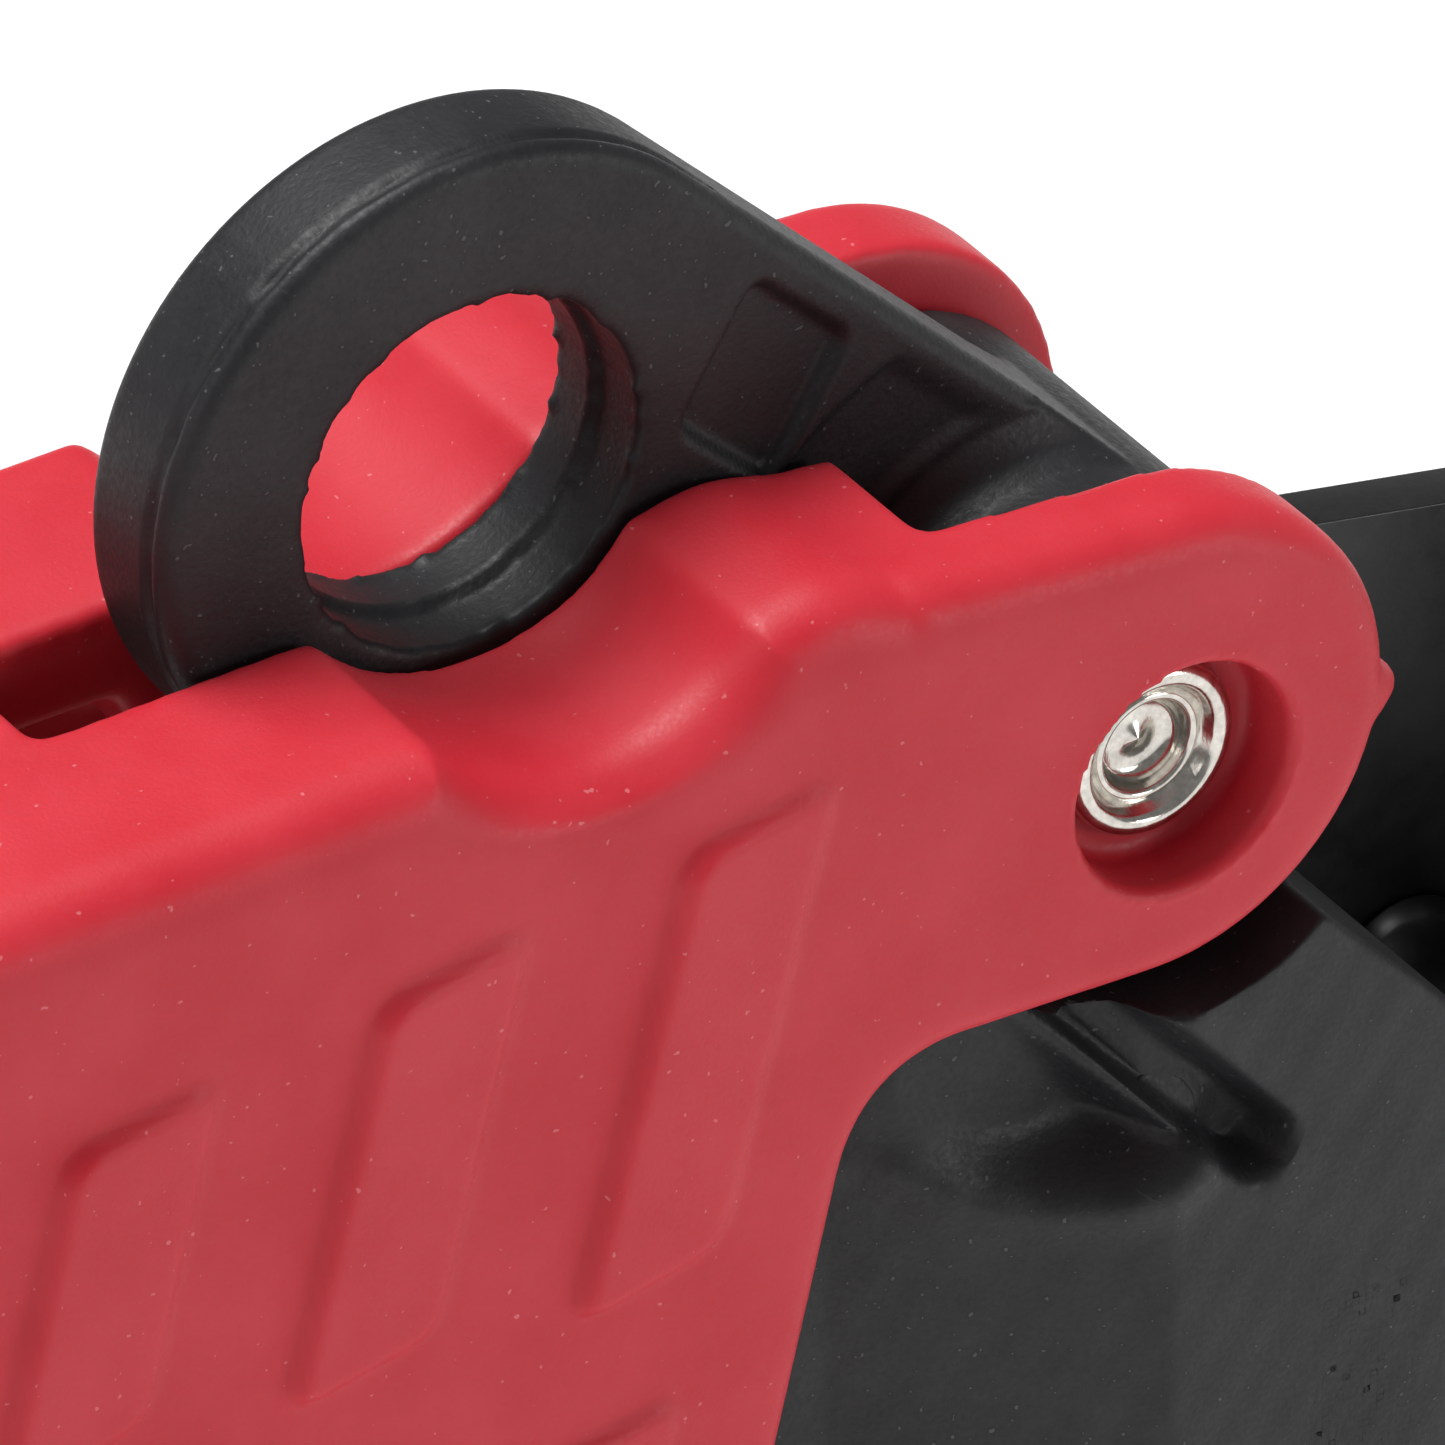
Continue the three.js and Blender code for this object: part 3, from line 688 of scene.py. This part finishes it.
def makeScrew():
    low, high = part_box("adjusting_screw")
    axisPlace = np.array([0.0, (low.y + high.y) / 2, (low.z + high.z) / 2])
    start, end = thread["run"]
    rows = int((end - start) / thread["pitch"] * thread["rowsPerPitch"])
    count = thread["perTurn"]
    point, shoulder = thread["dogPoint"]
    stations = [point, point, shoulder, shoulder] + list(np.linspace(start, end, rows)) + [thread["end"]] * 2
    points = []
    for index, station in enumerate(stations):
        for i in range(count):
            angle = 2 * math.pi * i / count
            phase = (station / thread["pitch"] - i / count) % 1.0
            crest = 1 - abs(2 * phase - 1)
            crest = min(max(crest * 1.5 - 0.25, 0), 1)
            radius = thread["root"] + (thread["outer"] - thread["root"]) * crest
            if index == 0 or index == len(stations) - 1:
                radius = thread["centreRadius"]
            elif index in (1, 2):
                radius = thread["dogRadius"]
            elif index in (3, len(stations) - 2):
                radius = thread["root"]
            points.append((station * mm, radius * mm * math.cos(angle) + axisPlace[1],
                           radius * mm * math.sin(angle) + axisPlace[2]))
    faces = []
    for row in range(len(stations) - 1):
        for i in range(count):
            nextI = (i + 1) % count
            near, far = row * count, (row + 1) * count
            faces.append((near + i, near + nextI, far + nextI, far + i))
    faces.append(tuple(range(count)))
    faces.append(tuple(reversed(range((len(stations) - 1) * count, len(stations) * count))))
    mesh = bpy.data.meshes.new("adjusting_screw_threaded")
    mesh.from_pydata(points, [], faces)
    shape = bmesh.new()
    shape.from_mesh(mesh)
    bmesh.ops.recalc_face_normals(shape, faces=shape.faces)
    shape.to_mesh(mesh)
    shape.free()
    piece = newPiece("adjusting_screw_threaded", mesh)
    finishPiece(piece, "adjusting_screw")
    piece.data.set_sharp_from_angle(angle=math.radians(45))
    print("screw made")


# Camera, floor and light

camera = {"toCamera": (-0.455, -0.685, 0.569), "right": (0.833, -0.553, 0.0), "up": (0.315, 0.474, 0.822),
          "distance": 0.42, "frameMm": 32.33, "centreMm": (-5.92, -2.40)}


def makeCamera():
    right, up, back = (Vector(camera[k]).normalized() for k in ("right", "up", "toCamera"))
    across, above = camera["centreMm"]
    target = Vector(pivot) + right * across * mm + up * above * mm
    data = bpy.data.cameras.new("studio_camera")
    data.sensor_width = 36
    data.lens = 36 * camera["distance"] / (camera["frameMm"] * mm)
    data.clip_start = 0.01
    data.clip_end = 20
    rig = bpy.data.objects.new("studio_camera", data)
    bpy.context.scene.collection.objects.link(rig)
    turn = Matrix((right, up, back)).transposed().to_4x4()
    rig.matrix_world = Matrix.Translation(target + back * camera["distance"]) @ turn
    bpy.context.scene.camera = rig


lights = [
    # name, place, size, power, all aimed at the hinge
    ("top_softbox", (-0.08, 0.12, 0.50), 0.30, 3.1),
    ("left_softbox", (-0.48, -0.10, 0.30), 0.30, 0.42),
    ("front_softbox", (0.36, -0.50, 0.13), 0.20, 0.80),
]


def makeStudio():
    mesh = bpy.data.meshes.new("floor")
    size = 3.0
    corners = [(-size, -size, 0), (size, -size, 0), (size, size, 0), (-size, size, 0)]
    mesh.from_pydata(corners, [], [(0, 1, 2, 3)])
    floor = newPiece("floor", mesh)
    # a white acrylic light table: lit from below so that it stays paper-white
    surface = {"Roughness": 0.9, "Specular IOR Level": 0.1, "Emission Color": (1, 1, 1, 1),
               "Emission Strength": 0.56}
    acrylic, tree, shader, place = newMaterial("pale_light_table", surface)
    cloud = addNode(tree, "ShaderNodeTexNoise", grainOf(1.2), {"Vector": place})
    tints = [(0.3, linearColour("b8b8b8")), (0.7, linearColour("bebebe"))]
    base = addNode(tree, "ShaderNodeValToRGB", {"stops": tints}, {"Fac": cloud})
    connect(tree, shader, {"Base Color": base})
    mesh.materials.append(acrylic)
    for name, place, size, power in lights:
        data = bpy.data.lights.new(name, "AREA")
        data.shape = "DISK"
        data.size = size
        data.energy = power
        lamp = bpy.data.objects.new(name, data)
        bpy.context.scene.collection.objects.link(lamp)
        lamp.location = place
        lamp.rotation_euler = (Vector(pivot) - Vector(place)).to_track_quat("-Z", "Y").to_euler()
    world = bpy.data.worlds.new("studio")
    world.use_nodes = True
    world.node_tree.nodes["Background"].inputs["Color"].default_value = (1, 1, 1, 1)
    world.node_tree.nodes["Background"].inputs["Strength"].default_value = 0.22
    bpy.context.scene.world = world
    bpy.context.scene.view_settings.view_transform = "Standard"


makeCamera()
makeStudio()
makeLever()
makeEye()
makePillar()
makeSoftMouldings()
makeMetalParts()
makeRivet()
makeScrew()
